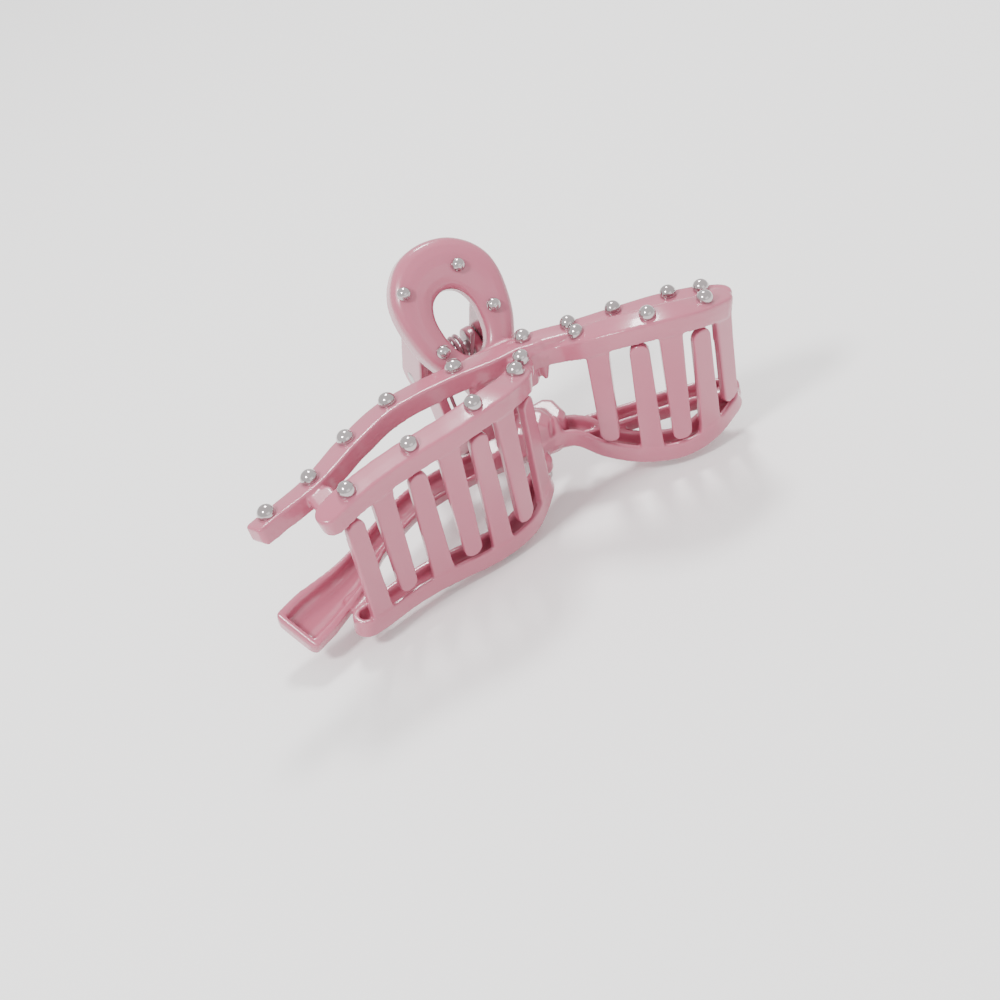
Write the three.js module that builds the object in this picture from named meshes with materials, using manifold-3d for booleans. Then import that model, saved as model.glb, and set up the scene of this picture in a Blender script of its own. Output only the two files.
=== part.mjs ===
// Bow-shaped spring hair claw: two sprung jaws with interlocking tines, finger rings, pearls on the edges.
// Millimetres. Built with the hinge along X, the tines toward -Y and the mid-plane at z = 0,
// then laid down the way the clip rests on a table: front edge and lower ring on the floor.
import * as THREE from 'three';
import { mergeVertices } from 'three/addons/utils/BufferGeometryUtils.js';
import Module from 'manifold-3d';

const REST_TILT = 14;
const HINGE_Y = 43;
const HANDLE_X = 1.1;
const PIN_R = 1.5;
const RUNNING_GAP = 0.3;
const EAR_R = 4.2;
const UPPER_EAR_X = [7.9, 10.1];
const LOWER_EAR_X = [5.3, 7.5];
const COIL_R = 3.5;
const WIRE_R = 0.46;
const COIL_HALF = 4.1;
const COIL_TURNS = 7;

const WALL = 1.4;
const EDGE = 0.7;
const BULGE = 0.35;
const BAR_W = 5.5;
const BAR_H = 4.3;
const STRAP_W = 5.8;
const UPPER_TAIL_FLARE = 1.15;
const LOWER_TAIL_FLARE = 1.9;
const STRAP_H = 3.8;
const STRAP_ROLL = -18;
const LOOP_W = 4.8;

const TINE_W = 5.0;
const TINE_TIP_W = 4.3;
const TINE_T = 1.8;

const RING_TILT = 46;
const RING_X = 1.6;
const RING_Y = 26;
const RING_Z = 12.5;
const RING_T = 6.4;
const RING_RIM = 1.5;

const PEARL_BIG = 2.0;
const PEARL_MID = 1.85;
const PEARL_SMALL = 1.6;
const PEARL_LIFT = 0.8;
const SEAT_GAP = 0.3;
const SNAP = 0.005;

const FRONT_LEFT = [
  [-50.5, -0.6, 18.2], [-44, 0.7, 19.3], [-37.3, 1.9, 19.7], [-30.7, 2.4, 20.1], [-24.4, 2.3, 20.6],
  [-18, 2.0, 21.2], [-11.4, 2.3, 21.6], [-4.4, 3.7, 21.0], [1, 6.6, 19.2], [5.7, 10.4, 17.2],
];
const FRONT_RIGHT = [
  [4.5, 14.4, 15.6], [9.5, 15.8, 14.9], [13.8, 14.2, 15], [18, 9.4, 17.5], [23.3, 5.0, 19.5],
  [28.5, 1.8, 20.4], [34.5, -0.6, 20.4], [41.3, -1.4, 19], [51.4, 0.7, 15.6],
];
const STRAP_LEFT = [
  [-62.4, 9.5, 17.7], [-58, 10.8, 17.4], [-46.5, 14, 16.7], [-35.5, 19.2, 16.2], [-23.5, 23.2, 15.8],
  [-10, 23.2, 15.4], [1, 21.4, 15.3], [7.5, 20.4, 15.6], [13.6, 18.2, 15.7],
];
const STRAP_RIGHT = [
  [4, 20.4, 15.4], [10.5, 19.6, 15.8], [18.6, 16.3, 16.2], [28.5, 13.2, 16.4], [39, 9.9, 16.2],
  [46.5, 6.4, 15.9], [51.6, 3, 15.5],
];
// x of each tine; every tip stops just short of the opposite bar
const UPPER_TINES = [-36.7, -20.7, -6.2, 19.7, 33.5, 47.1];
const LOWER_TINES = [-44.2, -28.3, -13.1, 0.8, 26.7, 40.4];
const TIP_GAP = 0.9;
const FRONT_PEARLS_LEFT = [1.2, -11.7, -27.2, -42.9];
const FRONT_PEARLS_RIGHT = [18.6, 30.8, 43.6];
const BACK_PEARLS_LEFT = [-58, -46.4, -35, -22.8, -6.6];
const BACK_PEARLS_RIGHT = [9.4, 18.8, 28.4, 40.2, 46.6];
const RING_PEARLS = [[-7.1, 19.2], [6.6, 19.2], [9.3, 8.1], [6.6, -1.1], [-5.7, 4.4]];

const wasm = await Module();
wasm.setup();
const UP = new THREE.Vector3(0, 0, 1);
const rad = THREE.MathUtils.degToRad;

// a curve whose cross-section stays level (or at a set roll) instead of twisting
class LevelCurve extends THREE.CatmullRomCurve3 {
  constructor(points, roll, taper = () => 1) {
    super(points);
    this.roll = roll;
    this.taper = taper;
  }
  frameAt(u) {
    const t = this.getTangentAt(u);
    const n = new THREE.Vector3().crossVectors(UP, t).normalize();
    const b = new THREE.Vector3().crossVectors(t, n).normalize();
    n.applyAxisAngle(t, rad(this.roll)).multiplyScalar(this.taper(this.getPointAt(u).x));
    b.applyAxisAngle(t, rad(this.roll));
    return [t, n, b];
  }
  computeFrenetFrames(segments) {
    const out = { tangents: [], normals: [], binormals: [] };
    for (let i = 0; i <= segments; i++) {
      const [t, n, b] = this.frameAt(i / segments);
      out.tangents.push(t);
      out.normals.push(n);
      out.binormals.push(b);
    }
    return out;
  }
}

function levelCurve(rows, roll, taper) {
  return new LevelCurve(rows.map((p) => new THREE.Vector3(...p)), roll, taper);
}

function subCurve(curve, trimStart, trimEnd, steps) {
  const a = trimStart / curve.getLength();
  const b = 1 - trimEnd / curve.getLength();
  const points = [];
  for (let i = 0; i <= steps; i++) points.push(curve.getPointAt(a + ((b - a) * i) / steps));
  return new LevelCurve(points, curve.roll, curve.taper);
}

function shapeOf(rows) {
  return new THREE.Shape(rows.map((p) => new THREE.Vector2(...p)));
}

function signedVolume(geometry) {
  const p = geometry.getAttribute('position');
  const a = new THREE.Vector3();
  const b = new THREE.Vector3();
  const c = new THREE.Vector3();
  let sum = 0;
  for (let i = 0; i < geometry.index.count; i += 3) {
    a.fromBufferAttribute(p, geometry.index.getX(i));
    b.fromBufferAttribute(p, geometry.index.getX(i + 1));
    c.fromBufferAttribute(p, geometry.index.getX(i + 2));
    sum += a.dot(b.cross(c));
  }
  return sum;
}

// welded, outward-facing copy of a geometry; side = -1 mirrors it through the mid-plane
function welded(source, side = 1) {
  let g = source.clone();
  for (const name of Object.keys(g.attributes)) if (name !== 'position') g.deleteAttribute(name);
  g.scale(1, 1, side);
  g = mergeVertices(g, 1e-4);
  const flip = signedVolume(g) < 0;
  const keep = [];
  for (let i = 0; i < g.index.count; i += 3) {
    const tri = [g.index.getX(i), g.index.getX(i + 1), g.index.getX(i + 2)];
    if (tri[0] === tri[1] || tri[1] === tri[2] || tri[0] === tri[2]) continue;
    if (flip) tri.reverse();
    keep.push(...tri);
  }
  g.setIndex(keep);
  return g;
}

function solid(source, side = 1) {
  const g = welded(source, side);
  const mesh = new wasm.Mesh({
    numProp: 3,
    vertProperties: new Float32Array(g.getAttribute('position').array),
    triVerts: new Uint32Array(g.index.array),
  });
  return new wasm.Manifold(mesh);
}

function join(list) {
  return list.reduce((a, b) => a.add(b));
}

// the cuts leave vertices a few microns apart: draw them together and drop the faces that close up
function geometryOf(manifold) {
  const mesh = manifold.getMesh();
  const snapped = Float32Array.from(mesh.vertProperties, (v) => Math.round(v / SNAP) * SNAP);
  const g = new THREE.BufferGeometry();
  g.setAttribute('position', new THREE.BufferAttribute(snapped, 3));
  g.setIndex(new THREE.BufferAttribute(new Uint32Array(mesh.triVerts), 1));
  return welded(g);
}

// closed-end channel open toward the mid-plane: section from s0 to s0 + width, top at the curve
function channel(curve, from, width, height, steps, side, seats, squareStart = false) {
  const s0 = from - BULGE;
  const w1 = from + width;
  const lead = squareStart ? 0 : width / 2;
  const run = subCurve(curve, lead, width / 2, steps);
  const coreRun = squareStart ? subCurve(curve, WALL, width / 2, steps) : run;
  const outer = shapeOf([
    [s0, -height], [s0, BULGE - EDGE], [s0 + EDGE, BULGE],
    [w1 - EDGE, BULGE], [w1, BULGE - EDGE], [w1, -height],
  ].reverse());
  const inner = shapeOf([
    [s0 + WALL, -height - 1], [s0 + WALL, -WALL], [w1 - WALL, -WALL], [w1 - WALL, -height - 1],
  ].reverse());
  const sweep = (shape, path) => new THREE.ExtrudeGeometry(shape, { steps, extrudePath: path });
  const bodyParts = [solid(sweep(outer, run), side)];
  const coreParts = [solid(sweep(inner, coreRun), side)];
  const r = (w1 - s0) / 2;
  for (const u of squareStart ? [1] : [0, 1]) {
    const [t, n, b] = run.frameAt(u);
    const at = run.getPointAt(u).addScaledVector(n, s0 + r);
    const place = new THREE.Matrix4().makeBasis(t, n, b).setPosition(at);
    const round = (rr, z0, z1, edge) => {
      const g = new THREE.LatheGeometry([
        new THREE.Vector2(0, z0), new THREE.Vector2(rr, z0), new THREE.Vector2(rr, z1 - edge),
        new THREE.Vector2(rr - edge, z1), new THREE.Vector2(0, z1),
      ], 12);
      g.rotateX(Math.PI / 2);
      g.applyMatrix4(place);
      return solid(g, side);
    };
    bodyParts.push(round(r, -height, BULGE, EDGE));
    coreParts.push(round(r - WALL, -height - 1, -WALL, 0.05));
  }
  let core = join(coreParts);
  for (const seat of seats) {
    const boss = new THREE.CylinderGeometry(seat.r + 0.7, seat.r + 0.7, 3.2, 8);
    boss.rotateX(Math.PI / 2);
    boss.translate(seat.at.x, seat.at.y, seat.at.z - 1.6);
    core = core.subtract(solid(boss, side));
  }
  return join(bodyParts).subtract(core);
}

// point on the middle of a bar's top face at a given x, raised by the pearl's lift
function seatOn(curve, s, x, r) {
  let best = 0;
  for (let i = 0; i <= 400; i++) {
    const [, n] = curve.frameAt(i / 400);
    const p = curve.getPointAt(i / 400).addScaledVector(n, s);
    const q = curve.getPointAt(best / 400).addScaledVector(curve.frameAt(best / 400)[1], s);
    if (Math.abs(p.x - x) < Math.abs(q.x - x)) best = i;
  }
  const [, n, b] = curve.frameAt(best / 400);
  const at = curve.getPointAt(best / 400).addScaledVector(n, s).addScaledVector(b, PEARL_LIFT);
  return { at, r };
}

const frontLeft = levelCurve(FRONT_LEFT, 0);
const frontRight = levelCurve(FRONT_RIGHT, 0);
function flared(tail) {
  return (x) => tail + (1 - tail) * THREE.MathUtils.clamp((x + 56) / 18, 0, 1);
}

const strapRight = levelCurve(STRAP_RIGHT, -8);

function ringPoint(u, v, w) {
  const a = rad(RING_TILT);
  return new THREE.Vector3(
    u,
    RING_Y + v * Math.cos(a) - w * Math.sin(a),
    RING_Z + v * Math.sin(a) + w * Math.cos(a),
  );
}

function pearlSeats(strapLeft) {
  const seats = {
    frontLeft: FRONT_PEARLS_LEFT.map((x) => seatOn(frontLeft, BAR_W / 2, x, PEARL_BIG)),
    frontRight: FRONT_PEARLS_RIGHT.map((x) => seatOn(frontRight, BAR_W / 2, x, PEARL_MID)),
    backLeft: BACK_PEARLS_LEFT.map((x) => seatOn(strapLeft, 0, x, PEARL_BIG)),
    backRight: BACK_PEARLS_RIGHT.map((x) => seatOn(strapRight, 0.7, x, PEARL_MID)),
    ring: RING_PEARLS.map(([u, v]) => ({ at: ringPoint(u, v, PEARL_LIFT * 0.6), r: PEARL_SMALL })),
  };
  // the pearl tucked in where the right wing comes out from under the left one
  seats.frontRight.unshift({ at: new THREE.Vector3(5, 14, 18), r: PEARL_MID });
  return seats;
}

function lookX(curve, x) {
  let best = 0;
  for (let i = 0; i <= 400; i++) {
    if (Math.abs(curve.getPointAt(i / 400).x - x) < Math.abs(curve.getPointAt(best / 400).x - x)) best = i;
  }
  return best / 400;
}

function tine(x, side) {
  const curve = x < 8 ? frontLeft : frontRight;
  const u = lookX(curve, x);
  const [t, n] = curve.frameAt(u);
  const root = curve.getPointAt(u);
  const along = new THREE.Vector3(t.x, t.y, 0).normalize();
  const across = new THREE.Vector3(n.x, n.y, 0).normalize();
  const top = root.z - 1.6;
  const tip = -(root.z - BAR_H - TIP_GAP);
  const shape = new THREE.Shape();
  const r = TINE_TIP_W / 2;
  shape.moveTo(-TINE_W / 2, top);
  shape.lineTo(-TINE_TIP_W / 2, tip + r);
  for (let i = 1; i < 4; i++) {
    const a = Math.PI + (Math.PI * i) / 4;
    shape.lineTo(r * Math.cos(a), tip + r + r * Math.sin(a));
  }
  shape.lineTo(TINE_TIP_W / 2, tip + r);
  shape.lineTo(TINE_W / 2, top);
  const g = new THREE.ExtrudeGeometry(shape, { depth: TINE_T, bevelEnabled: false });
  const back = across.clone().negate();
  const place = new THREE.Matrix4().makeBasis(along, UP, back);
  place.setPosition(new THREE.Vector3(root.x, root.y, 0).addScaledVector(across, TINE_T + 0.1));
  g.applyMatrix4(place);
  return solid(g, side);
}

// finger ring: dished plate with a hole, rising from the knot to the tip of the handle
function fingerRing(side, seats) {
  const edge = [
    [5, -5.5], [7.6, -3], [10, 1], [11.9, 5], [13.2, 10], [13.7, 15], [13, 19], [10.6, 22.8], [6.2, 26], [0, 27.2],
    [-5.4, 26], [-9.2, 22.8], [-11.4, 19], [-12.2, 15], [-12, 10], [-11.1, 5], [-9.5, 1], [-7.4, -3], [-5, -5.5],
  ];
  const hole = [[2.2, 1.2], [3.8, 3.6], [4.7, 7.5], [4.6, 11.5], [3.1, 14.6], [0, 15.9]];
  const both = (rows) => {
    const tipless = rows.filter(([u]) => u > 0);
    const mirrored = [...rows].reverse().filter(([u]) => u > 0).map(([u, v]) => [-u, v]);
    return [...tipless, ...rows.filter(([u]) => u === 0), ...mirrored];
  };
  const grow = (rows, d, cv) => rows.map(([u, v]) => {
    const l = Math.hypot(u, v - cv);
    return [(u * (l + d)) / l, cv + ((v - cv) * (l + d)) / l];
  });
  const plate = (outline, cut, w0, w1) => {
    const shape = shapeOf(outline);
    if (cut) shape.holes.push(new THREE.Path(cut.map((p) => new THREE.Vector2(...p))));
    const g = new THREE.ExtrudeGeometry(shape, { depth: w1 - w0, bevelEnabled: false });
    g.translate(0, 0, w0);
    const a = rad(RING_TILT);
    const v = new THREE.Vector3(0, Math.cos(a), Math.sin(a));
    const w = new THREE.Vector3(0, -Math.sin(a), Math.cos(a));
    const place = new THREE.Matrix4().makeBasis(new THREE.Vector3(1, 0, 0), v, w);
    g.applyMatrix4(place.setPosition(ringPoint(RING_X, 0, 0)));
    return solid(g, side);
  };
  const outline = edge;
  const cut = both(hole);
  const skin = plate(outline, cut, -RING_T, -0.8);
  const crown = plate(grow(outline, -0.8, 11), grow(cut, 0.7, 8.5), -0.9, 0);
  let gutter = plate(grow(outline, -RING_RIM, 11), grow(cut, RING_RIM, 8.5), -RING_T - 1, -1.8);
  for (const seat of seats.ring) {
    const boss = new THREE.CylinderGeometry(seat.r + 0.7, seat.r + 0.7, 3.4, 8);
    boss.rotateX(Math.PI / 2 + rad(RING_TILT));
    const c = seat.at;
    boss.translate(c.x, c.y + 1.7 * Math.sin(rad(RING_TILT)), c.z - 1.7 * Math.cos(rad(RING_TILT)));
    gutter = gutter.subtract(solid(boss, side));
  }
  return join([skin, crown]).subtract(gutter);
}

function ear(x0, x1, side) {
  const shape = new THREE.Shape();
  shape.moveTo(33.2, 16.6);
  for (let i = 0; i <= 6; i++) {
    const a = Math.PI + (Math.PI * i) / 6 + 0.12;
    shape.lineTo(HINGE_Y + EAR_R * Math.cos(a), EAR_R * Math.sin(a));
  }
  shape.lineTo(39.4, 22.8);
  const g = new THREE.ExtrudeGeometry(shape, { depth: x1 - x0, bevelEnabled: false });
  g.applyMatrix4(new THREE.Matrix4().makeBasis(
    new THREE.Vector3(0, 1, 0), new THREE.Vector3(0, 0, 1), new THREE.Vector3(1, 0, 0),
  ));
  g.translate(x0, 0, 0);
  return solid(g, side);
}

function slab(x0, x1, y0, y1, z0, z1, side, bevel = 0.6) {
  const shape = shapeOf([
    [x0 + bevel, y0 + bevel], [x1 - bevel, y0 + bevel], [x1 - bevel, y1 - bevel], [x0 + bevel, y1 - bevel],
  ]);
  const g = new THREE.ExtrudeGeometry(shape, {
    depth: z1 - z0 - 2 * bevel, bevelEnabled: true, bevelThickness: bevel, bevelSize: bevel, bevelSegments: 1,
  });
  g.translate(0, 0, z0 + bevel);
  return solid(g, side);
}

function jaw(side, tines, earX, strapLeft, seats) {
  const parts = [
    channel(frontLeft, 0, BAR_W, BAR_H, 15, side, seats.frontLeft),
    channel(frontRight, 0, BAR_W, BAR_H, 15, side, seats.frontRight),
    channel(strapLeft, -STRAP_W / 2, STRAP_W, STRAP_H, 13, side, seats.backLeft, true),
    channel(strapRight, -LOOP_W / 2, LOOP_W, STRAP_H, 11, side, seats.backRight),
    fingerRing(side, seats),
    slab(-6, 9, 18, 26, 9, 14.2, side),
    slab(2, 11, 15.5, 23.5, 5.6, 14, side),
    slab(-50, -43.5, 4.4, 11.5, 14.8, 17.4, side),
    ...(side < 0 ? [slab(6, 15, 16.5, 25, 7.5, 14.4, side)] : []),
  ];
  for (const x of tines) parts.push(tine(x, side));
  const spike = new THREE.ConeGeometry(1.7, 8.5, 8);
  spike.rotateX(-Math.PI / 2);
  spike.translate(11.2, 16.6, 9.4);
  parts.push(solid(spike, side));
  for (const s of [-1, 1]) {
    const xs = earX.map((v) => HANDLE_X + v * s).sort((a, b) => a - b);
    parts.push(ear(xs[0], xs[1], side));
  }
  let whole = join(parts);
  const bore = new THREE.CylinderGeometry(PIN_R + RUNNING_GAP, PIN_R + RUNNING_GAP, 40, 16);
  bore.rotateZ(Math.PI / 2);
  bore.translate(HANDLE_X, HINGE_Y, 0);
  whole = whole.subtract(solid(bore, side));
  for (const seat of Object.values(seats).flat()) {
    const dimple = new THREE.IcosahedronGeometry(seat.r + SEAT_GAP + 0.1, 1);
    dimple.translate(seat.at.x, seat.at.y, seat.at.z);
    whole = whole.subtract(solid(dimple, side));
  }
  // pockets closed off where the bars cross inside the knot are left solid
  const shells = whole.decompose().sort((a, b) => b.volume() - a.volume());
  return geometryOf(shells[0]);
}

function hingePin() {
  const half = UPPER_EAR_X[1] + 0.2;
  const profile = [
    [0, -half], [PIN_R - 0.4, -half], [PIN_R, 0.4 - half], [PIN_R, half - 0.4], [PIN_R - 0.4, half], [0, half],
  ];
  const g = new THREE.LatheGeometry(profile.map((p) => new THREE.Vector2(...p)), 16);
  g.rotateZ(-Math.PI / 2);
  g.translate(HANDLE_X, HINGE_Y, 0);
  return welded(g);
}

// torsion spring: a helix round the pin with a leg lying under each ring
class SpringCurve extends THREE.Curve {
  getPoint(t, target = new THREE.Vector3()) {
    const legShare = 0.14;
    const start = rad(100);
    const turn = -2 * Math.PI * COIL_TURNS - rad(20);
    const at = (s) => {
      const a = start + turn * s;
      return new THREE.Vector3(
        HANDLE_X - COIL_HALF + 2 * COIL_HALF * s,
        HINGE_Y - COIL_R * Math.sin(a),
        COIL_R * Math.cos(a),
      );
    };
    if (t < legShare || t > 1 - legShare) {
      const end = t < legShare ? 0 : 1;
      const near = at(end);
      const k = end === 0 ? 1 - t / legShare : (t - 1 + legShare) / legShare;
      const up = end === 0 ? -1 : 1;
      const far = new THREE.Vector3(near.x, 36.2, 9.6 * up);
      return target.copy(near).lerp(far, k);
    }
    return target.copy(at((t - legShare) / (1 - 2 * legShare)));
  }
}

function spring() {
  const section = new THREE.Shape();
  for (let i = 0; i < 6; i++) {
    const a = (Math.PI * i) / 3;
    if (i === 0) section.moveTo(WIRE_R * Math.cos(a), WIRE_R * Math.sin(a));
    else section.lineTo(WIRE_R * Math.cos(a), WIRE_R * Math.sin(a));
  }
  const path = new THREE.CatmullRomCurve3(new SpringCurve().getPoints(96));
  const g = new THREE.ExtrudeGeometry(section, { steps: 100, extrudePath: path });
  return welded(g);
}

const group = new THREE.Group();
const SLOTS = {
  plastic: { color: 0xd9a3b0, roughness: 0.3, metalness: 0 },
  pearl: { color: 0xdcdde3, roughness: 0.15, metalness: 0.3 },
  steel: { color: 0xb9bcc2, roughness: 0.3, metalness: 1 },
  wire: { color: 0xcf97a6, roughness: 0.4, metalness: 0 },
};

function put(name, geometry, slot) {
  const g = geometry.clone();
  g.rotateX(rad(REST_TILT));
  g.computeVertexNormals();
  const mesh = new THREE.Mesh(g, new THREE.MeshStandardMaterial(SLOTS[slot]));
  mesh.name = name;
  group.add(mesh);
}

const strapUpper = levelCurve(STRAP_LEFT, STRAP_ROLL, flared(UPPER_TAIL_FLARE));
const strapLower = levelCurve(STRAP_LEFT, STRAP_ROLL, flared(LOWER_TAIL_FLARE));
const upperSeats = pearlSeats(strapUpper);
const lowerSeats = pearlSeats(strapLower);

put('upper_jaw', jaw(1, UPPER_TINES, UPPER_EAR_X, strapUpper, upperSeats), 'plastic');
put('lower_jaw', jaw(-1, LOWER_TINES, LOWER_EAR_X, strapLower, lowerSeats), 'plastic');
put('hinge_pin', hingePin(), 'steel');
put('torsion_spring', spring(), 'wire');
for (const [which, side, seats] of [['upper', 1, upperSeats], ['lower', -1, lowerSeats]]) {
  for (const [zone, list] of Object.entries(seats)) {
    const label = zone.replace(/[A-Z]/, (c) => `_${c.toLowerCase()}`);
    list.forEach((seat, i) => {
      const g = new THREE.IcosahedronGeometry(seat.r, 1);
      g.translate(seat.at.x, seat.at.y, seat.at.z);
      put(`${which}_${label}_pearl_${i + 1}`, welded(g, side), 'pearl');
    });
  }
}

const box = new THREE.Box3().setFromObject(group);
const mid = box.getCenter(new THREE.Vector3());
for (const mesh of group.children) mesh.geometry.translate(-mid.x, -mid.y, -box.min.z);

export default group;
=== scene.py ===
import math

import bmesh
import bpy
from mathutils import Matrix, Vector


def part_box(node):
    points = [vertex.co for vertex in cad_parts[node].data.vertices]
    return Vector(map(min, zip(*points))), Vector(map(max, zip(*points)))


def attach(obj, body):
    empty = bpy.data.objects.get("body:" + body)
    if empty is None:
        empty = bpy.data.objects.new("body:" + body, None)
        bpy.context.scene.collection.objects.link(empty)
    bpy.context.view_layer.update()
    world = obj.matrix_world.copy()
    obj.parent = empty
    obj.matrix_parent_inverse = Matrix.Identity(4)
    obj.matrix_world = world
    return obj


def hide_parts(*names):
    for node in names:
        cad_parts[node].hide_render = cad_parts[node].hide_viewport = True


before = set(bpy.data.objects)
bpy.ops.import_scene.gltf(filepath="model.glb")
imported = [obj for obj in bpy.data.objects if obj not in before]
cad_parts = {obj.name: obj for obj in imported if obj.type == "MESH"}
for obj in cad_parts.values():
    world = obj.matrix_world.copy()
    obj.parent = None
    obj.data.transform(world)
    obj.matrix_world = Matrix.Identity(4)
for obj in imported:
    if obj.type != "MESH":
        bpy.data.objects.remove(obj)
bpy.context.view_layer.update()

# The clip is drawn in millimetres with the hinge along X and the mid-plane of the jaws at z = 0,
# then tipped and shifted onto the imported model, whose hinge pin gives the place.
REST_TILT = math.radians(14)
HINGE = Vector((1.1, 43.0, 0.0))
EAR_R = 4.2
UPPER_EAR_X = (7.9, 10.1)
LOWER_EAR_X = (5.3, 7.5)
WALL = 1.4
BULGE = 0.35
BAR_W = 5.5
BAR_H = 4.3
STRAP_W = 5.8
STRAP_H = 3.8
STRAP_ROLL = math.radians(-18)
STRAP_WALL = 1.0
LOOP_W = 4.8
LOOP_ROLL = math.radians(-8)
TINE_W = 5.0
TINE_TIP_W = 4.3
TINE_T = 1.8
TIP_GAP = 0.9
RING_X = 1.6
RING_TILT = math.radians(46)
RING_T = 6.4
VOXEL = 0.3

# The front bars' points, the tines' x and the camera below are rounded output of a least-squares
# solve over points picked on the photo, with the bars' heights smoothed.
FRONT_LEFT = [
    (-50.5, -0.6, 18.2), (-44, 0.7, 19.3), (-37.3, 1.9, 19.7), (-30.7, 2.4, 20.1), (-24.4, 2.3, 20.6),
    (-18, 2.0, 21.2), (-11.4, 2.3, 21.6), (-4.4, 3.7, 21.0), (1, 6.6, 19.2), (5.7, 10.4, 17.2),
]
FRONT_RIGHT = [
    (4.5, 14.4, 15.6), (9.5, 15.8, 14.9), (13.8, 14.2, 15), (18, 9.4, 17.5), (23.3, 5.0, 19.5),
    (28.5, 1.8, 20.4), (34.5, -0.6, 20.4), (41.3, -1.4, 19), (51.4, 0.7, 15.6),
]
STRAP_LEFT = [
    (-62.4, 9.5, 17.7), (-58, 10.8, 17.4), (-46.5, 14, 16.7), (-35.5, 19.2, 16.2), (-23.5, 23.2, 15.8),
    (-10, 23.2, 15.4), (1, 21.4, 15.3), (7.5, 20.4, 15.6), (13.6, 18.2, 15.7),
]
STRAP_RIGHT = [
    (4, 20.4, 15.4), (10.5, 19.6, 15.8), (18.6, 16.3, 16.2), (28.5, 13.2, 16.4), (39, 9.9, 16.2),
    (46.5, 6.4, 15.9), (51.6, 3, 15.5),
]
UPPER_TINES = (-36.7, -20.7, -6.2, 19.7, 33.5, 47.1)
LOWER_TINES = (-44.2, -28.3, -13.1, 0.8, 26.7, 40.4)
RING_EDGE = [
    (0, -5.4), (4.8, -5), (7.6, -3), (10, 1), (11.9, 5), (13.2, 10), (13.7, 15), (13, 19),
    (10.6, 22.8), (6.2, 26), (0, 27.2), (-5.4, 26), (-9.2, 22.8), (-11.4, 19), (-12.2, 15),
    (-12, 10), (-11.1, 5), (-9.5, 1), (-7.4, -3), (-4.6, -5),
]
RING_HOLE = [(0, 0.6), (2.4, 1.4), (3.9, 3.8), (4.7, 7.5), (4.6, 11.5), (3.1, 14.6), (0, 15.9)]

tip = Matrix.Rotation(REST_TILT, 4, "X")
lo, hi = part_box("hinge_pin")
pin_mid = (Vector(lo) + Vector(hi)) / 2
TO_ROW = Matrix.Translation(pin_mid) @ tip @ Matrix.Scale(0.001, 4) @ Matrix.Translation(-HINGE)


# ---------- curves ----------
def spline(points, closed=False, fine=24):
    """Centripetal Catmull-Rom through the points, as a dense polyline."""
    pts = [Vector(p) for p in points]
    n = len(pts)
    out = []
    for i in range(n if closed else n - 1):
        p1 = pts[i]
        p2 = pts[(i + 1) % n]
        p0 = pts[(i - 1) % n] if closed or i > 0 else p1 * 2 - p2
        p3 = pts[(i + 2) % n] if closed or i + 2 < n else p2 * 2 - p1
        t01 = math.sqrt((p1 - p0).length)
        t12 = math.sqrt((p2 - p1).length)
        t23 = math.sqrt((p3 - p2).length)
        m1 = (p2 - p1) + ((p1 - p0) / t01 - (p2 - p0) / (t01 + t12)) * t12
        m2 = (p2 - p1) + ((p3 - p2) / t23 - (p3 - p1) / (t12 + t23)) * t12
        for k in range(fine):
            t = k / fine
            a = 2 * t ** 3 - 3 * t ** 2 + 1
            b = t ** 3 - 2 * t ** 2 + t
            c = -2 * t ** 3 + 3 * t ** 2
            d = t ** 3 - t ** 2
            out.append(p1 * a + m1 * b + p2 * c + m2 * d)
    out.append(pts[0].copy() if closed else pts[-1].copy())
    return out


def resample(line, count, start=0.0, end=0.0):
    """Evenly spaced points along a polyline, leaving off start and end lengths."""
    dist = [0.0]
    for a, b in zip(line, line[1:]):
        dist.append(dist[-1] + (b - a).length)
    out = []
    i = 0
    for k in range(count + 1):
        s = start + (dist[-1] - start - end) * k / count
        while i < len(line) - 2 and dist[i + 1] < s:
            i += 1
        span = dist[i + 1] - dist[i] or 1
        out.append(line[i].lerp(line[i + 1], (s - dist[i]) / span))
    return out


def frames(points, roll=0.0, width=lambda x: 1.0):
    """Point, sideways and upward direction at each point, kept level apart from the roll."""
    out = []
    for i, p in enumerate(points):
        t = (points[min(i + 1, len(points) - 1)] - points[max(i - 1, 0)]).normalized()
        n = Vector((0, 0, 1)).cross(t).normalized()
        b = t.cross(n).normalized()
        turn = Matrix.Rotation(roll, 3, t)
        out.append((p, turn @ n * width(p.x), turn @ b, t))
    return out


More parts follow.
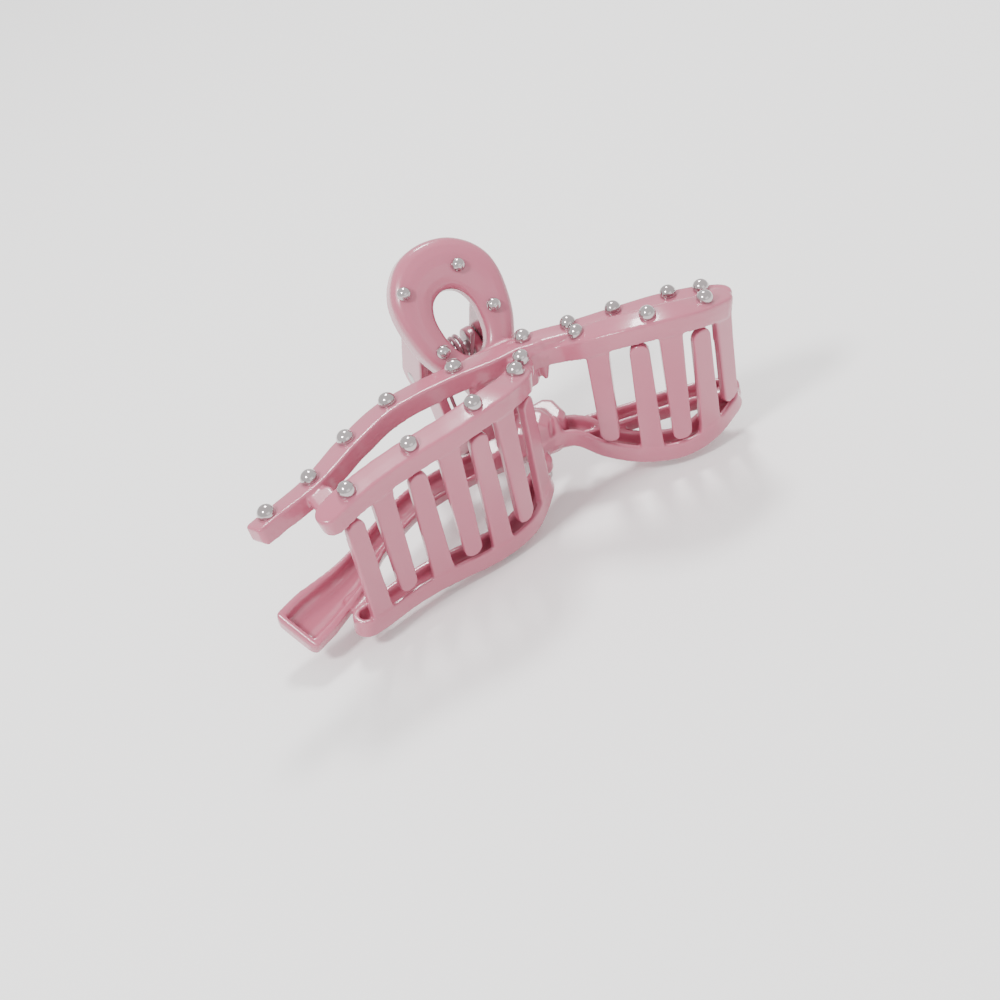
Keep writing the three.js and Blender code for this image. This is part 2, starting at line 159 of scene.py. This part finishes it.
# ---------- solids ----------
class Shell:
    """Closed solids collected into one mesh; side -1 mirrors them for the lower jaw."""

    def __init__(self, side=1):
        self.bm = bmesh.new()
        self.side = side

    def loft(self, rings, closed=False):
        rows = []
        for ring in rings:
            rows.append([self.bm.verts.new((p[0], p[1], p[2] * self.side)) for p in ring])
        n = len(rows[0])
        pairs = list(zip(rows, rows[1:]))
        if closed:
            pairs.append((rows[-1], rows[0]))
        for a, b in pairs:
            for i in range(n):
                j = (i + 1) % n
                self.bm.faces.new((a[i], a[j], b[j], b[i]))
        if not closed:
            self.bm.faces.new(rows[0][::-1])
            self.bm.faces.new(rows[-1])

    def prism(self, outline, place, depth):
        rings = []
        for w in (0, depth):
            rings.append([place @ Vector((x, y, w)) for x, y in outline])
        self.loft(rings)

    def channel(self, points, s0, width, height, roll=0.0, flare=lambda x: 1.0, square=False,
                wall=WALL):
        """A bar hollowed from the side that faces the other jaw; square closes its first end flat."""
        line = spline(points)
        lead = 0.0 if square else width / 2
        track = frames(resample(line, 90, lead, width / 2), roll, flare)
        a, c = s0 - BULGE, s0 + width
        top = BULGE
        back = [(a, -height), (a - 0.08, -height * 0.5), (a, top - 0.5),
                (a + 0.12, top - 0.12), (a + 0.5, top),
                ((a + c) / 2, top + 0.06), (c - 0.5, top), (c - 0.12, top - 0.12), (c, top - 0.5),
                (c + 0.08, -height * 0.5), (c, -height)]
        inside = [(c - wall + 0.2, -height), (c - wall, -height + 0.5), (c - wall - 0.1, -wall - 0.9),
                  (c - wall - 0.5, -wall - 0.25), (c - wall - 1.2, -wall + 0.1),
                  (a + wall + 1.2, -wall + 0.1),
                  (a + wall + 0.5, -wall - 0.25), (a + wall + 0.1, -wall - 0.9), (a + wall, -height + 0.5),
                  (a + wall - 0.2, -height)]
        section = back + inside
        hollow = track[1:] if square else track
        self.loft([[p + n * s + b * t for s, t in section] for p, n, b, _ in hollow])
        mid = (a + c) / 2
        half = (c - a) / 2
        ends = [track[-1]] if square else [track[0], track[-1]]
        for p, n, b, t in ends:
            sign = -1 if (p - track[0][0]).length < 1e-6 else 1
            self.cap(p + n.normalized() * mid * n.length, n, b, t * sign, half, height, top)
        if square:
            p, n, b, t = track[0]
            rows = ((0.0, 0.72), (0.35, 0.9), (0.9, 1.0), (wall + 0.6, 1.0))
            self.loft([[p + n * (mid + (s - mid) * k) + b * (h * k) + t * d for s, h in back]
                       for d, k in rows])
        return track

    def cap(self, at, n, b, t, half, height, top):
        """Half-round closing wall at a bar's end."""
        n = n.normalized()
        arc = [math.pi * k / 16 - math.pi / 2 for k in range(17)]
        outer = [(math.sin(a) * half, math.cos(a) * half) for a in arc]
        inner = [(math.sin(a) * (half - WALL), math.cos(a) * (half - WALL)) for a in reversed(arc)]
        wall = outer + inner
        self.loft([[at + n * s + t * d + b * h for s, d in wall] for h in (-height, top - 0.55)])
        self.loft([[at + n * s * k + t * d * k + b * h for s, d in outer]
                   for k, h in ((1, -WALL), (1, top - 0.7), (0.93, top - 0.2), (0.8, top))])

    def make(self, name, voxel, smooth=4):
        bmesh.ops.remove_doubles(self.bm, verts=self.bm.verts, dist=1e-5)
        bmesh.ops.recalc_face_normals(self.bm, faces=self.bm.faces)
        mesh = bpy.data.meshes.new(name)
        self.bm.to_mesh(mesh)
        self.bm.free()
        piece = bpy.data.objects.new(name, mesh)
        bpy.context.scene.collection.objects.link(piece)
        remesh = piece.modifiers.new("remesh", "REMESH")
        remesh.mode = "VOXEL"
        remesh.voxel_size = voxel
        soften = piece.modifiers.new("soften", "SMOOTH")
        soften.factor = 0.5
        soften.iterations = smooth
        flatten(piece)
        piece.data.transform(TO_ROW)
        for poly in piece.data.polygons:
            poly.use_smooth = True
        return piece


def flatten(piece):
    """Applies a piece's modifiers to its mesh."""
    graph = bpy.context.evaluated_depsgraph_get()
    done = bpy.data.meshes.new_from_object(piece.evaluated_get(graph))
    piece.modifiers.clear()
    old = piece.data
    piece.data = done
    bpy.data.meshes.remove(old)


def at_x(track, x):
    return min(track, key=lambda row: abs(row[0].x - x))


def ring_point(u, v, w):
    return Vector((u, 26 + v * math.cos(RING_TILT) - w * math.sin(RING_TILT),
                   12.5 + v * math.sin(RING_TILT) + w * math.cos(RING_TILT)))


def finger_ring(shell):
    """Domed ring swept between its outer edge and the finger hole, hollow underneath."""
    def loop(whole):
        return resample(spline([(u, v, 0) for u, v in whole], closed=True), 128)[:-1]
    edge = loop(RING_EDGE)
    hole = loop(RING_HOLE + [(-u, v) for u, v in reversed(RING_HOLE[1:-1])])
    rings = []
    for o, i in zip(edge, hole):
        span = (o - i).length
        w = WALL / span
        ring = []
        profile = [(0, -RING_T + 1.6), (0, -1.9), (0.02, -1.2), (0.1, -0.55), (0.25, -0.12), (0.45, 0.08),
                   (0.65, 0.02), (0.83, -0.4), (0.94, -1.15), (0.99, -2.2), (1, -3.2), (1, -RING_T)]
        under = [(1 - w, -RING_T), (1 - w, -2.6), (1 - 1.6 * w, -2.0), (1.6 * w, -2.0), (w, -2.6),
                 (w, -RING_T + 1.6)]
        for s, h in profile + under:
            p = i.lerp(o, s)
            ring.append(ring_point(RING_X + p.x, p.y, h))
        rings.append(ring)
    shell.loft(rings, closed=True)


def ear(shell, x0, x1):
    outline = [(33.2, 16.6)]
    for k in range(13):
        a = math.pi + math.pi * k / 12 + 0.12
        outline.append((HINGE.y + EAR_R * math.cos(a), EAR_R * math.sin(a)))
    outline.append((39.4, 22.8))
    place = Matrix(((0, 0, 1, x0), (1, 0, 0, 0), (0, 1, 0, 0), (0, 0, 0, 1)))
    shell.prism(outline, place, x1 - x0)


def tine(shell, track, x):
    p, n, b, t = at_x(track, x)
    along = Vector((t.x, t.y, 0)).normalized()
    across = Vector((n.x, n.y, 0)).normalized()
    z0 = p.z - 1.6
    z1 = -(p.z - BAR_H - TIP_GAP)
    r = TINE_TIP_W / 2
    outline = [(-TINE_W / 2 - 0.7, z0), (-TINE_W / 2 - 0.1, p.z - BAR_H - 0.7),
               (-TINE_W / 2, p.z - BAR_H - 2)]
    for k in range(13):
        a = math.pi + math.pi * k / 12
        outline.append((r * math.cos(a), z1 + r + r * math.sin(a)))
    outline += [(TINE_W / 2, p.z - BAR_H - 2), (TINE_W / 2 + 0.1, p.z - BAR_H - 0.7),
                (TINE_W / 2 + 0.7, z0)]
    at = Vector((p.x, p.y, 0)) + across * (TINE_T - 0.12)
    place = Matrix.Identity(4)
    for row in range(3):
        place[row][0] = along[row]
        place[row][1] = (0, 0, 1)[row]
        place[row][2] = -across[row]
        place[row][3] = at[row]
    shell.prism(outline, place, TINE_T)


def block(shell, x0, x1, y0, y1, z0, z1, e=1.2):
    def rect(g):
        return [(x0 + g + e, y0 + g), (x1 - g - e, y0 + g), (x1 - g, y0 + g + e), (x1 - g, y1 - g - e),
                (x1 - g - e, y1 - g), (x0 + g + e, y1 - g), (x0 + g, y1 - g - e), (x0 + g, y0 + g + e)]
    levels = ((e / 2, z0), (0, z0 + e / 2), (0, z1 - e / 2), (e / 2, z1))
    shell.loft([[(x, y, z) for x, y in rect(g)] for g, z in levels])


def flared(tail):
    return lambda x: tail + (1 - tail) * min(max((x + 56) / 18, 0), 1)


def node_mid(name):
    a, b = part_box(name)
    return (Vector(a) + Vector(b)) / 2


def pearl_nodes(which):
    return sorted(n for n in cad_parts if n.startswith(which) and "_pearl_" in n)


def jaw(name, which, side, tines, ear_x, tail):
    shell = Shell(side)
    left = shell.channel(FRONT_LEFT, 0, BAR_W, BAR_H)
    right = shell.channel(FRONT_RIGHT, 0, BAR_W, BAR_H)
    shell.channel(STRAP_LEFT, -STRAP_W / 2, STRAP_W, STRAP_H, STRAP_ROLL, flared(tail), True, STRAP_WALL)
    shell.channel(STRAP_RIGHT, -LOOP_W / 2, LOOP_W, STRAP_H, LOOP_ROLL)
    finger_ring(shell)
    for x in tines:
        tine(shell, left if x < 8 else right, x)
    block(shell, -6, 9, 18, 26, 9, 14.2)
    block(shell, 2, 11, 15.5, 23.5, 5.6, 14, 2.4)
    block(shell, -49.5, -44, 4.6, 10.8, 15.4, 17.3, 0.8)
    if side < 0:
        block(shell, 6, 15, 16.5, 25, 7.5, 14.4, 1.6)
    shell.loft([[(11.2 + r * math.cos(a), 16.6 + r * math.sin(a), z)
                 for a in (math.tau * k / 16 for k in range(16))]
                for r, z in ((1.9, 13.8), (1.7, 12), (0.55, 6.2), (0.15, 5.8))])
    # the pearl at the right bar's root overhangs it, so it gets a post of its own
    seat = TO_ROW.inverted() @ node_mid(which + "_front_right_pearl_1")
    top = seat.z * side
    shell.loft([[(seat.x + r * math.cos(a), seat.y + r * math.sin(a), z)
                 for a in (math.tau * k / 24 for k in range(24))]
                for r, z in ((1.3, top - 0.9), (1.9, top - 1.3), (2.3, top - 2.2), (2.3, 13.6),
                             (1.6, 12.9))])
    for s in (-1, 1):
        xs = sorted(HINGE.x + v * s for v in ear_x)
        ear(shell, xs[0], xs[1])
    piece = shell.make(name, VOXEL)
    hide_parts(which + "_jaw")
    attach(piece, which)
    return piece


# ---------- materials ----------
def new_material(name):
    m = bpy.data.materials.new(name)
    m.use_nodes = True
    nodes = m.node_tree.nodes
    bsdf = next(n for n in nodes if n.type == "BSDF_PRINCIPLED")
    return m, nodes, m.node_tree.links, bsdf


def noise(nodes, links, scale, detail, coords):
    n = nodes.new("ShaderNodeTexNoise")
    n.inputs["Scale"].default_value = scale
    n.inputs["Detail"].default_value = detail
    links.new(coords, n.inputs["Vector"])
    return n


def ramp(nodes, links, source, stops):
    r = nodes.new("ShaderNodeValToRGB")
    els = r.color_ramp.elements
    els[0].position, els[0].color = stops[0]
    els[1].position, els[1].color = stops[-1]
    for pos, col in stops[1:-1]:
        e = els.new(pos)
        e.color = col
    links.new(source, r.inputs["Fac"])
    return r


def surface(name, dark, light, rough, metallic=0.0, coat=0.0, coat_rough=0.1, bump=0.02, grain=2500,
            subsurface=0.0):
    """Moulded or plated surface: slow colour drift, fine grain in roughness and height."""
    m, nodes, links, bsdf = new_material(name)
    coords = nodes.new("ShaderNodeTexCoord").outputs["Object"]
    slow = noise(nodes, links, 55, 3, coords)
    fine = noise(nodes, links, grain, 2, coords)
    mid = noise(nodes, links, 260, 4, coords)
    tint = ramp(nodes, links, slow.outputs["Fac"], [(0.3, (*dark, 1)), (0.7, (*light, 1))])
    links.new(tint.outputs["Color"], bsdf.inputs["Base Color"])
    spread = nodes.new("ShaderNodeMapRange")
    spread.inputs["To Min"].default_value = rough[0]
    spread.inputs["To Max"].default_value = rough[1]
    links.new(mid.outputs["Fac"], spread.inputs["Value"])
    links.new(spread.outputs["Result"], bsdf.inputs["Roughness"])
    low = nodes.new("ShaderNodeBump")
    low.inputs["Strength"].default_value = bump * 2
    low.inputs["Distance"].default_value = 0.0006
    links.new(mid.outputs["Fac"], low.inputs["Height"])
    high = nodes.new("ShaderNodeBump")
    high.inputs["Strength"].default_value = bump
    high.inputs["Distance"].default_value = 0.0001
    links.new(fine.outputs["Fac"], high.inputs["Height"])
    links.new(low.outputs["Normal"], high.inputs["Normal"])
    links.new(high.outputs["Normal"], bsdf.inputs["Normal"])
    bsdf.inputs["Metallic"].default_value = metallic
    bsdf.inputs["Coat Weight"].default_value = coat
    bsdf.inputs["Coat Roughness"].default_value = coat_rough
    if subsurface:
        bsdf.inputs["Subsurface Weight"].default_value = subsurface
        bsdf.inputs["Subsurface Scale"].default_value = 0.002
        bsdf.inputs["Subsurface Radius"].default_value = (1.0, 0.45, 0.45)
    return m


plastic = surface("plastic", (0.425, 0.110, 0.168), (0.44, 0.118, 0.177), (0.25, 0.275), coat=0.5,
                  coat_rough=0.1, bump=0.004, grain=3000, subsurface=0.06)
pearly = surface("pearl", (0.40, 0.355, 0.36), (0.50, 0.455, 0.46), (0.12, 0.18), metallic=0.95, coat=0.9,
                 coat_rough=0.05, bump=0.02, grain=6000)
steel = surface("steel", (0.50, 0.46, 0.47), (0.62, 0.58, 0.59), (0.28, 0.4), metallic=1.0, bump=0.05,
                grain=4000)
wire = surface("wire", (0.26, 0.10, 0.13), (0.34, 0.14, 0.18), (0.3, 0.42), coat=0.3, bump=0.06, grain=5000)


# ---------- pieces ----------
def lathe(name, profile, axis, at, seg=40):
    """Closed turned solid: profile rows are (radius, height along the axis) in metres."""
    bm = bmesh.new()
    turn = Vector((0, 0, 1)).rotation_difference(axis).to_matrix()
    rows = []
    for r, h in profile:
        if r < 1e-9:
            rows.append([bm.verts.new(at + turn @ Vector((0, 0, h)))])
            continue
        angles = [math.tau * k / seg for k in range(seg)]
        rows.append([bm.verts.new(at + turn @ Vector((r * math.cos(a), r * math.sin(a), h)))
                     for a in angles])
    for a, b in zip(rows, rows[1:]):
        for k in range(seg):
            j = (k + 1) % seg
            if len(a) == 1:
                bm.faces.new((a[0], b[j], b[k]))
            elif len(b) == 1:
                bm.faces.new((a[k], a[j], b[0]))
            else:
                bm.faces.new((a[k], a[j], b[j], b[k]))
    bmesh.ops.recalc_face_normals(bm, faces=bm.faces)
    mesh = bpy.data.meshes.new(name)
    bm.to_mesh(mesh)
    bm.free()
    for poly in mesh.polygons:
        poly.use_smooth = True
    piece = bpy.data.objects.new(name, mesh)
    bpy.context.scene.collection.objects.link(piece)
    return piece


upper_jaw = jaw("upper_jaw_moulding", "upper", 1, UPPER_TINES, UPPER_EAR_X, 0.82)
lower_jaw = jaw("lower_jaw_moulding", "lower", -1, LOWER_TINES, LOWER_EAR_X, 1.9)
for piece in (upper_jaw, lower_jaw):
    piece.data.materials.clear()
    piece.data.materials.append(plastic)

to_row3 = TO_ROW.to_3x3()
for which, side in (("upper", 1), ("lower", -1)):
    for n in pearl_nodes(which):
        a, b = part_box(n)
        r = (b[0] - a[0]) / 2 * 0.985
        out = Vector((0, -math.sin(RING_TILT), math.cos(RING_TILT))) if "_ring_" in n else Vector((0, 0, 1))
        out.z *= side
        out = (to_row3 @ out).normalized()
        rows = [(0, -0.62 * r), (0.5 * r, -0.62 * r), (0.72 * r, -0.66 * r)]
        for k in range(1, 22):
            t = -0.72 + (math.pi / 2 + 0.72) * k / 22
            rows.append((r * math.cos(t), r * math.sin(t)))
        rows.append((0, r))
        piece = lathe(n + "_bead", rows, out, node_mid(n), 32)
        piece.data.materials.append(pearly)
        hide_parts(n)
        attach(piece, which)

half = (hi[0] - lo[0]) / 2
pin_profile = [
    (0, -half), (0.0009, -half), (0.00135, -half + 0.00012), (0.0015, -half + 0.0004),
    (0.0015, half - 0.0004), (0.00135, half - 0.00012), (0.0009, half), (0, half),
]
pin = lathe("hinge_pin_turned", pin_profile, Vector((1, 0, 0)), pin_mid)
pin.data.materials.append(steel)
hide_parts("hinge_pin")
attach(pin, "lower")


def spring_line():
    r, half_w, turns = 3.5, 4.1, 7
    coil = []
    steps = 40 * turns
    start = math.radians(100)
    turn = -(math.tau * turns + math.radians(20))
    for k in range(steps + 1):
        s = k / steps
        a = start + turn * s
        coil.append(Vector((HINGE.x - half_w + 2 * half_w * s, HINGE.y - r * math.sin(a), r * math.cos(a))))
    first = [coil[0].lerp(Vector((coil[0].x, 36.2, -9.6)), k / 10) for k in range(10, 0, -1)]
    last = [coil[-1].lerp(Vector((coil[-1].x, 36.2, 9.6)), k / 10) for k in range(1, 11)]
    return first + coil + last


def wire_piece(name, line, radius, sides=12):
    bm = bmesh.new()
    rows = []
    up = Vector((1, 0, 0))
    for i, p in enumerate(line):
        t = (line[min(i + 1, len(line) - 1)] - line[max(i - 1, 0)]).normalized()
        n = (up - t * up.dot(t)).normalized()
        b = t.cross(n)
        angles = [math.tau * k / sides for k in range(sides)]
        rows.append([bm.verts.new(p + (n * math.cos(a) + b * math.sin(a)) * radius) for a in angles])
    for a, b in zip(rows, rows[1:]):
        for k in range(sides):
            j = (k + 1) % sides
            bm.faces.new((a[k], a[j], b[j], b[k]))
    bm.faces.new(rows[0][::-1])
    bm.faces.new(rows[-1])
    bmesh.ops.recalc_face_normals(bm, faces=bm.faces)
    mesh = bpy.data.meshes.new(name)
    bm.to_mesh(mesh)
    bm.free()
    mesh.transform(TO_ROW)
    for poly in mesh.polygons:
        poly.use_smooth = True
    piece = bpy.data.objects.new(name, mesh)
    bpy.context.scene.collection.objects.link(piece)
    return piece


coil = wire_piece("torsion_spring_coil", spring_line(), 0.46)
coil.data.materials.append(wire)
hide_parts("torsion_spring")
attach(coil, "lower")

# ---------- floor, light, camera ----------
floor_mesh = bpy.data.meshes.new("floor")
floor_mesh.from_pydata([(-3, -3, 0), (3, -3, 0), (3, 3, 0), (-3, 3, 0)], [], [(0, 1, 2, 3)])
floor = bpy.data.objects.new("floor", floor_mesh)
bpy.context.scene.collection.objects.link(floor)
floor_mat, _, _, floor_bsdf = new_material("floor")
floor_bsdf.inputs["Base Color"].default_value = (0.96, 0.955, 0.95, 1)
floor_bsdf.inputs["Roughness"].default_value = 0.7
floor.data.materials.append(floor_mat)

world = bpy.data.worlds.new("studio")
world.use_nodes = True
world.node_tree.nodes["Background"].inputs["Color"].default_value = (1, 0.99, 0.985, 1)
world.node_tree.nodes["Background"].inputs["Strength"].default_value = 1.15
bpy.context.scene.world = world


def area(name, at, target, size, power):
    data = bpy.data.lights.new(name, "AREA")
    data.shape = "RECTANGLE"
    data.size = size[0]
    data.size_y = size[1]
    data.energy = power
    lamp = bpy.data.objects.new(name, data)
    lamp.location = at
    lamp.rotation_euler = (Vector(target) - Vector(at)).to_track_quat("-Z", "Y").to_euler()
    bpy.context.scene.collection.objects.link(lamp)


area("key_left", (-0.55, -0.25, 0.75), (0, 0, 0.02), (0.16, 0.16), 7.5)
area("key_right", (0.25, 0.35, 0.80), (0, 0, 0.02), (0.18, 0.18), 6.0)
area("fill_front", (0.1, -0.9, 0.35), (0, 0, 0.03), (0.7, 0.4), 0.9)

cam_data = bpy.data.cameras.new("camera")
cam_data.sensor_width = 36
cam_data.lens = 66.15
cam_data.clip_start = 0.01
cam = bpy.data.objects.new("camera", cam_data)
# the viewer in the drawing frame, in millimetres, as the camera solve printed it
eye = Vector((-114.69, -242.20, 280.11))
right = Vector((0.8309, -0.5333, -0.1584))
down = Vector((-0.4897, -0.5660, -0.6632))
ahead = Vector((0.2640, 0.6286, -0.7315))
turned = [(tip.to_3x3() @ v).normalized() for v in (right, -down, -ahead)]
place = Matrix.Identity(4)
spot = TO_ROW @ eye
for row in range(3):
    for col in range(3):
        place[row][col] = turned[col][row]
    place[row][3] = spot[row]
cam.matrix_world = place
bpy.context.scene.collection.objects.link(cam)
bpy.context.scene.camera = cam
